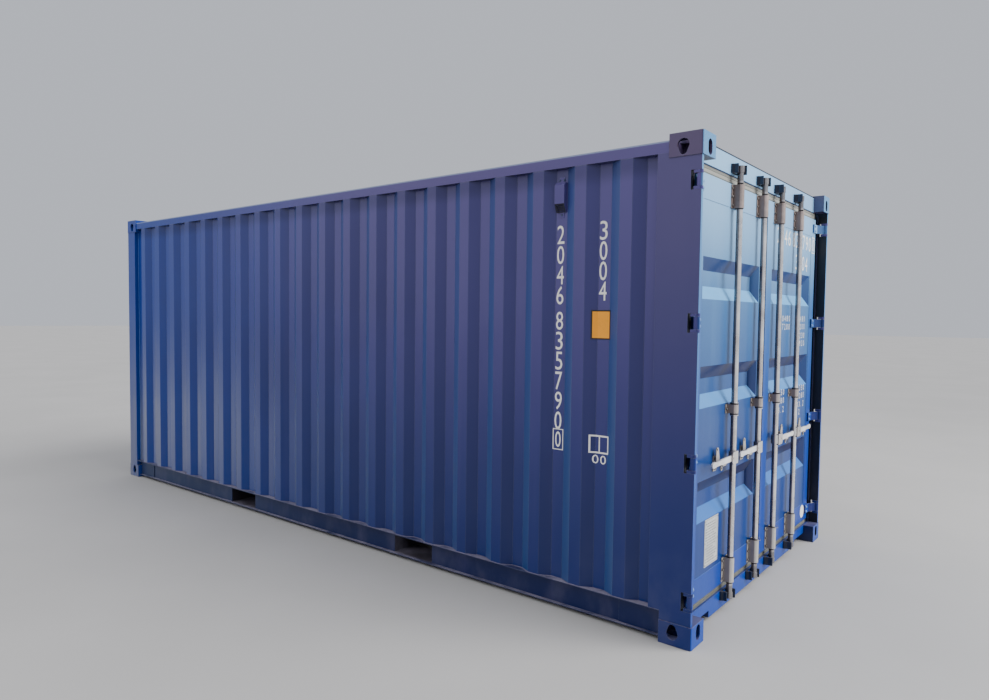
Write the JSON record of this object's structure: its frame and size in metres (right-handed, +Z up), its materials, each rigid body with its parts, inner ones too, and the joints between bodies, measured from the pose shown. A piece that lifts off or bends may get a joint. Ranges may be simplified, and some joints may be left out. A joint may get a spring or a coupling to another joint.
{
  "type": "shipping container",
  "caption": "Closed steel freight container with corrugated walls, corner fittings, fork pockets, and a pair of cargo doors with turning locking bars and lifting handles.",
  "frame": {"origin": "middle of the footprint, on the plane of the undersides of the bottom corner fittings", "axes": "+X along the length towards the doors, +Y across, +Z up; someone facing the doors has the left side at -Y"},
  "size_m": [6.058, 2.438, 2.591],
  "materials": {
    "fitting_paint": "worn blue paint on cast steel, rust at the edges",
    "frame_paint": "weathered blue paint with rust patches",
    "rail_paint": "weathered blue paint",
    "base_rail_paint": "weathered blue paint with dust and rust",
    "side_wall_paint": "faded blue paint with streaks",
    "front_wall_paint": "faded blue paint with streaks",
    "roof_paint": "faded blue paint with dirt",
    "base_paint": "dark undercoat with rust",
    "fork_pocket_paint": "dark paint with rust",
    "floor_plywood": "worn marine plywood",
    "door_frame_paint": "weathered blue paint",
    "door_paint": "weathered blue paint",
    "door_panel_paint": "weathered blue paint",
    "hinge_paint": "weathered blue paint with rust",
    "ventilator_paint": "weathered blue paint",
    "keeper_paint": "dark navy paint on forged steel",
    "bracket_zinc": "galvanised steel, dull with rust stains",
    "bar_zinc": "galvanised steel, dull",
    "handle_zinc": "galvanised steel, polished by use",
    "seal_rubber": "weathered rubber"
  },
  "bodies": {
    "container": {"top_corner_fittings": "fitting_paint", "bottom_corner_fittings": "fitting_paint", "front_corner_posts": "frame_paint", "rear_corner_posts": "frame_paint", "top_side_rails": "rail_paint", "bottom_side_rails": "base_rail_paint", "rail_end_gussets": "base_rail_paint", "left_side_wall": "side_wall_paint", "right_side_wall": "side_wall_paint", "front_wall": "front_wall_paint", "front_top_rail": "rail_paint", "front_bottom_rail": "base_rail_paint", "door_header": "door_frame_paint", "door_sill": "door_frame_paint", "roof_panel": "roof_paint", "roof_end_plates": "roof_paint", "floor_boards": "floor_plywood", "floor_centre_rail": "base_paint", "cross_members": "base_paint", "fork_pockets": "fork_pocket_paint", "header_cam_keepers": "keeper_paint", "sill_cam_keepers": "keeper_paint", "hinge_lugs_and_pins": "hinge_paint", "ventilators": "ventilator_paint"},
    "left_leaf": {"left_door_frame": "door_paint", "left_door_panel": "door_panel_paint", "left_door_seal": "seal_rubber", "left_hinge_blades": "hinge_paint", "left_bar_brackets": "bracket_zinc", "left_handle_retainers": "bracket_zinc"},
    "right_leaf": {"right_door_frame": "door_paint", "right_door_panel": "door_panel_paint", "right_door_seal": "seal_rubber", "right_hinge_blades": "hinge_paint", "right_bar_brackets": "bracket_zinc", "right_handle_retainers": "bracket_zinc"},
    "left_outer_bar": {"left_outer_locking_bar": "bar_zinc"},
    "left_outer_grip": {"left_outer_handle": "handle_zinc"},
    "left_inner_bar": {"left_inner_locking_bar": "bar_zinc"},
    "left_inner_grip": {"left_inner_handle": "handle_zinc"},
    "right_outer_bar": {"right_outer_locking_bar": "bar_zinc"},
    "right_outer_grip": {"right_outer_handle": "handle_zinc"},
    "right_inner_bar": {"right_inner_locking_bar": "bar_zinc"},
    "right_inner_grip": {"right_inner_handle": "handle_zinc"}
  },
  "joints": [
    {"name": "left_door", "type": "hinge", "parent": "container", "child": "left_leaf", "pos_m": [3.009, -1.199, 1.3], "axis": [0, 0, -1], "range_deg": [0, 265]},
    {"name": "left_outer_bar_turn", "type": "hinge", "parent": "left_leaf", "child": "left_outer_bar", "pos_m": [2.993, -0.596, 1.3], "axis": [0, 0, -1], "range_deg": [-110, 0]},
    {"name": "left_outer_handle_lift", "type": "hinge", "parent": "left_outer_bar", "child": "left_outer_grip", "pos_m": [3.008, -0.654, 0.893], "axis": [-1, 0, 0], "range_deg": [0, 25]},
    {"name": "left_inner_bar_turn", "type": "hinge", "parent": "left_leaf", "child": "left_inner_bar", "pos_m": [2.993, -0.172, 1.3], "axis": [0, 0, -1], "range_deg": [-110, 0]},
    {"name": "left_inner_handle_lift", "type": "hinge", "parent": "left_inner_bar", "child": "left_inner_grip", "pos_m": [3.008, -0.23, 0.893], "axis": [-1, 0, 0], "range_deg": [0, 25]},
    {"name": "right_door", "type": "hinge", "parent": "container", "child": "right_leaf", "pos_m": [3.009, 1.199, 1.3], "axis": [0, 0, 1], "range_deg": [0, 265]},
    {"name": "right_outer_bar_turn", "type": "hinge", "parent": "right_leaf", "child": "right_outer_bar", "pos_m": [2.993, 0.596, 1.3], "axis": [0, 0, 1], "range_deg": [-110, 0]},
    {"name": "right_outer_handle_lift", "type": "hinge", "parent": "right_outer_bar", "child": "right_outer_grip", "pos_m": [3.008, 0.654, 0.893], "axis": [1, 0, 0], "range_deg": [0, 25]},
    {"name": "right_inner_bar_turn", "type": "hinge", "parent": "right_leaf", "child": "right_inner_bar", "pos_m": [2.993, 0.172, 1.3], "axis": [0, 0, 1], "range_deg": [-110, 0]},
    {"name": "right_inner_handle_lift", "type": "hinge", "parent": "right_inner_bar", "child": "right_inner_grip", "pos_m": [3.008, 0.23, 0.893], "axis": [1, 0, 0], "range_deg": [0, 25]}
  ]
}
